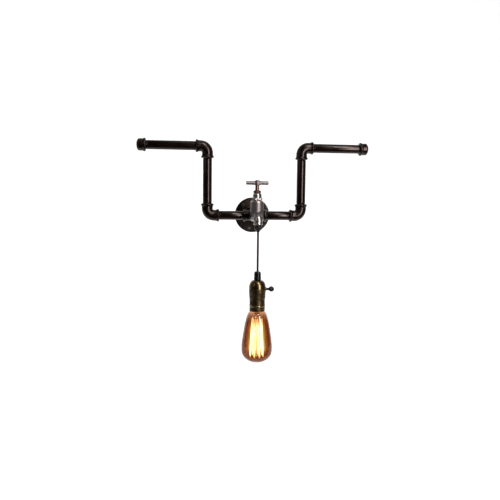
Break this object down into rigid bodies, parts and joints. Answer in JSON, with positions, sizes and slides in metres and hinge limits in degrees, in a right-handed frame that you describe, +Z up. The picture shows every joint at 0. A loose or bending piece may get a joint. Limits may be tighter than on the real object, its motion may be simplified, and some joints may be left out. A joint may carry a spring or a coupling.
{
  "type": "industrial pipe wall light",
  "caption": "Wall light of black-brown iron pipe: arms rise to both sides of a round flange, and a tap's spout lets down a bronze keyed lampholder with a filament lamp.",
  "frame": {"origin": "centre of the wall flange's back face, in the plane of the wall", "axes": "+Z up, +Y into the wall along the wall screws, +X to the right as seen from the front"},
  "size_m": [0.49, 0.1302, 0.4589],
  "materials": {
    "iron_pipe": "black-brown enamel over steel pipe, satin gloss",
    "iron_casting": "black-brown enamel over malleable iron, satin",
    "nickel": "worn nickel plate, satin",
    "spindle_copper": "bare copper-brown brass, turned",
    "gland_metal": "blackened brass",
    "brass": "bare brass, turned",
    "cap_brass": "rolled brass",
    "antique_brass": "antique bronze finish, satin",
    "fibre": "red vulcanised fibre",
    "rubber": "black rubber",
    "black_plastic": "moulded, glossy",
    "flex_jacket": "round black flex, satin",
    "porcelain": "glazed porcelain",
    "solder": "solder",
    "black_glass": "black vitreous insulator",
    "amber_glass": "amber tinted glass",
    "clear_glass": "clear drawn glass",
    "lead_copper": "bare copper-clad wire",
    "support_wire": "molybdenum wire",
    "filament_wire": "carbon filament, glowing"
  },
  "bodies": {
    "fixture": {"wall_flange": "iron_casting", "flange_nipple": "iron_pipe", "cross_fitting": "iron_casting", "lower_pipe_left": "iron_pipe", "lower_pipe_right": "iron_pipe", "lower_elbow_left": "iron_casting", "lower_elbow_right": "iron_casting", "upright_pipe_left": "iron_pipe", "upright_pipe_right": "iron_pipe", "upper_elbow_left": "iron_casting", "upper_elbow_right": "iron_casting", "arm_pipe_left": "iron_pipe", "arm_pipe_right": "iron_pipe", "end_cap_left": "iron_casting", "end_cap_right": "iron_casting", "tap_body": "nickel", "bonnet_washer": "fibre", "tap_bonnet": "nickel", "gland_packing": "fibre", "gland_nut": "gland_metal", "spout_cord_grip": "black_plastic", "inner_flex": "flex_jacket"},
    "tap_lift": {"tap_jumper": "brass", "jumper_washer": "rubber"},
    "tap_turn": {"tap_spindle": "spindle_copper", "tap_handle": "nickel", "handle_screw": "nickel"},
    "cord_swing": {"cord_exit": "flex_jacket"},
    "pendant": {"cord": "flex_jacket", "holder_cord_grip": "black_plastic", "holder_cap": "antique_brass", "holder_shell": "antique_brass", "holder_sleeve": "fibre", "socket_core": "porcelain", "screw_shell": "brass", "centre_contact": "brass", "terminal_screws": "brass", "holder_leads": "flex_jacket", "switch_bush": "brass"},
    "switch": {"switch_shaft": "brass", "switch_cam": "black_plastic", "switch_key": "black_plastic"},
    "lamp_lift": {"lamp_tip_contact": "solder", "lamp_insulator": "black_glass"},
    "lamp": {"lamp_cap": "cap_brass", "lamp_glass": "amber_glass", "lamp_stem": "clear_glass", "lead_wires": "lead_copper", "support_wires": "support_wire", "filament": "filament_wire"}
  },
  "joints": [
    {"name": "spindle_rise", "type": "slide", "parent": "fixture", "child": "tap_lift", "axis": [0, 0, 1], "range_m": [0, 0.004]},
    {"name": "handle_turn", "type": "hinge", "parent": "tap_lift", "child": "tap_turn", "pos_m": [0, -0.0795, 0.0687], "axis": [0, 0, 1], "range_deg": [0, 720]},
    {"name": "swing_fore", "type": "hinge", "parent": "fixture", "child": "cord_swing", "pos_m": [0, -0.0985, -0.033], "axis": [1, 0, 0], "range_deg": [-60, 14]},
    {"name": "swing_side", "type": "hinge", "parent": "cord_swing", "child": "pendant", "pos_m": [0, -0.0985, -0.038], "axis": [0, 1, 0], "range_deg": [-60, 60]},
    {"name": "switch_turn", "type": "hinge", "parent": "pendant", "child": "switch", "pos_m": [0.024, -0.0985, -0.1483], "axis": [1, 0, 0], "continuous": true},
    {"name": "lamp_travel", "type": "slide", "parent": "pendant", "child": "lamp_lift", "axis": [0, 0, -1], "range_m": [0, 0.02722]},
    {"name": "lamp_turn", "type": "hinge", "parent": "lamp_lift", "child": "lamp", "pos_m": [0, -0.0985, -0.2], "axis": [0, 0, -1], "range_deg": [0, 2700]}
  ],
  "couplings": [
    {"joint": "handle_turn", "follows": "spindle_rise", "rad_per_m": 3141.6},
    {"joint": "lamp_turn", "follows": "lamp_travel", "rad_per_m": 1731.2}
  ]
}
